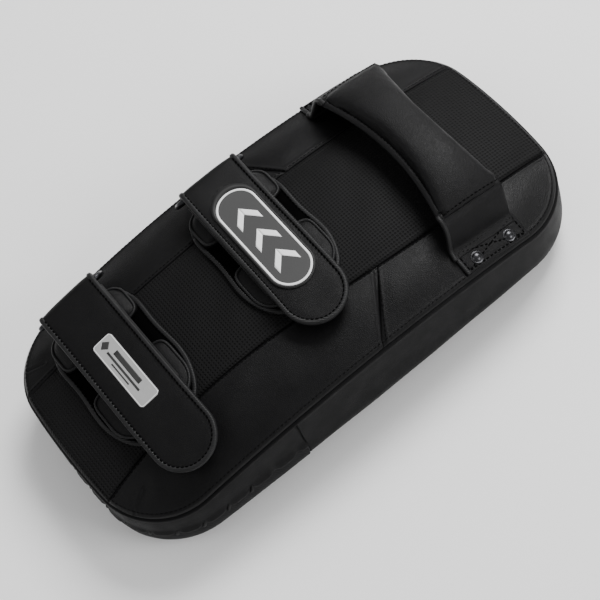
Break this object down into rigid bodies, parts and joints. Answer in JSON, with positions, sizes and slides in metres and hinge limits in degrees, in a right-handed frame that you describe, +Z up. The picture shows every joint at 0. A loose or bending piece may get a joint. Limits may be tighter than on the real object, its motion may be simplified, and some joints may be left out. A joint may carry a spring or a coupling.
{
  "type": "kick shield",
  "caption": "Long padded striking shield in sewn black leatherette with hook-and-loop forearm straps on wire rings over padded cuffs, and a riveted padded handle.",
  "frame": {"origin": "on the floor under the middle of the pad, in the plane of the flat strike face", "axes": "+X along the pad towards its head, where the handle is; +Y towards the side that carries the strap rings; +Z up out of the arm side, away from the strike face"},
  "size_m": [0.4007, 0.2048, 0.1104],
  "materials": {
    "badge_rubber": "moulded rubber badge",
    "binding": "folded binding tape, slight sheen",
    "cover_leather": "smooth matte leatherette, fine grain",
    "cuff_leather": "soft leatherette, fine grain",
    "foam": "closed-cell foam, sliced faces",
    "handle_foam": "closed-cell foam, soft",
    "hook_and_loop": "woven hook and loop tape",
    "label_fabric": "woven label",
    "lacing": "waxed thread",
    "mesh_panel": "embossed perforated leatherette",
    "ring_wire": "nickel-plated steel wire",
    "rivet_metal": "blackened steel, satin",
    "strap_leather": "matte leatherette, fine grain",
    "strike_leather": "smooth matte leatherette, fine grain"
  },
  "bodies": {
    "pad": {"back_centre_panel": "mesh_panel", "back_far_panel_foot": "cover_leather", "back_far_panel_head": "cover_leather", "back_near_panel_foot": "cover_leather", "back_near_panel_head": "cover_leather", "closing_stitches": "lacing", "foam_back_layer": "foam", "foam_shock_layer": "foam", "foam_strike_layer": "foam", "gusset_foot": "cover_leather", "gusset_main": "cover_leather", "handle_strap_far": "strap_leather", "handle_strap_near": "strap_leather", "handle_tab_far": "strap_leather", "handle_tab_near": "strap_leather", "lower_cuff_base": "cuff_leather", "lower_cuff_binding": "binding", "lower_cuff_block_far": "cuff_leather", "lower_cuff_block_near": "cuff_leather", "lower_loop_patch": "hook_and_loop", "lower_ring_keeper": "strap_leather", "lower_strap_lower_layer": "strap_leather", "rivet_washers_far": "rivet_metal", "rivet_washers_near": "rivet_metal", "rivets_far": "rivet_metal", "rivets_near": "rivet_metal", "strike_cover": "strike_leather", "upper_cuff_base": "cuff_leather", "upper_cuff_binding": "binding", "upper_cuff_block_far": "cuff_leather", "upper_cuff_block_near": "cuff_leather", "upper_loop_patch": "hook_and_loop", "upper_ring_keeper": "strap_leather", "upper_strap_lower_layer": "strap_leather"},
    "upper_ring_body": {"upper_ring": "ring_wire"},
    "upper_strap_body": {"upper_badge": "badge_rubber", "upper_hook_patch": "hook_and_loop", "upper_strap_binding": "binding", "upper_strap_upper_layer": "strap_leather"},
    "lower_ring_body": {"lower_ring": "ring_wire"},
    "lower_strap_body": {"lower_hook_patch": "hook_and_loop", "lower_label": "label_fabric", "lower_strap_binding": "binding", "lower_strap_upper_layer": "strap_leather"},
    "grip": {"handle_core": "handle_foam", "handle_sleeve": "strap_leather"}
  },
  "joints": [
    {"name": "upper_ring_swing", "type": "hinge", "parent": "pad", "child": "upper_ring_body", "pos_m": [0, 0.087, 0.081], "axis": [-1, 0, 0], "range_deg": [0, 35]},
    {"name": "upper_strap_peel", "type": "hinge", "parent": "upper_ring_body", "child": "upper_strap_body", "pos_m": [0, 0.073, 0.102], "axis": [-1, 0, 0], "range_deg": [0, 150]},
    {"name": "lower_ring_swing", "type": "hinge", "parent": "pad", "child": "lower_ring_body", "pos_m": [-0.12717, 0.087, 0.07033], "axis": [-0.986, 0, -0.1666], "range_deg": [0, 35]},
    {"name": "lower_strap_peel", "type": "hinge", "parent": "lower_ring_body", "child": "lower_strap_body", "pos_m": [-0.13067, 0.073, 0.09104], "axis": [-0.986, 0, -0.1666], "range_deg": [0, 150]},
    {"name": "handle_lean", "type": "hinge", "parent": "pad", "child": "grip", "pos_m": [0.1205, 0, 0.07957], "axis": [0, 1, 0], "range_deg": [-20, 20], "stiffness_Nm_per_rad": 0.6}
  ]
}
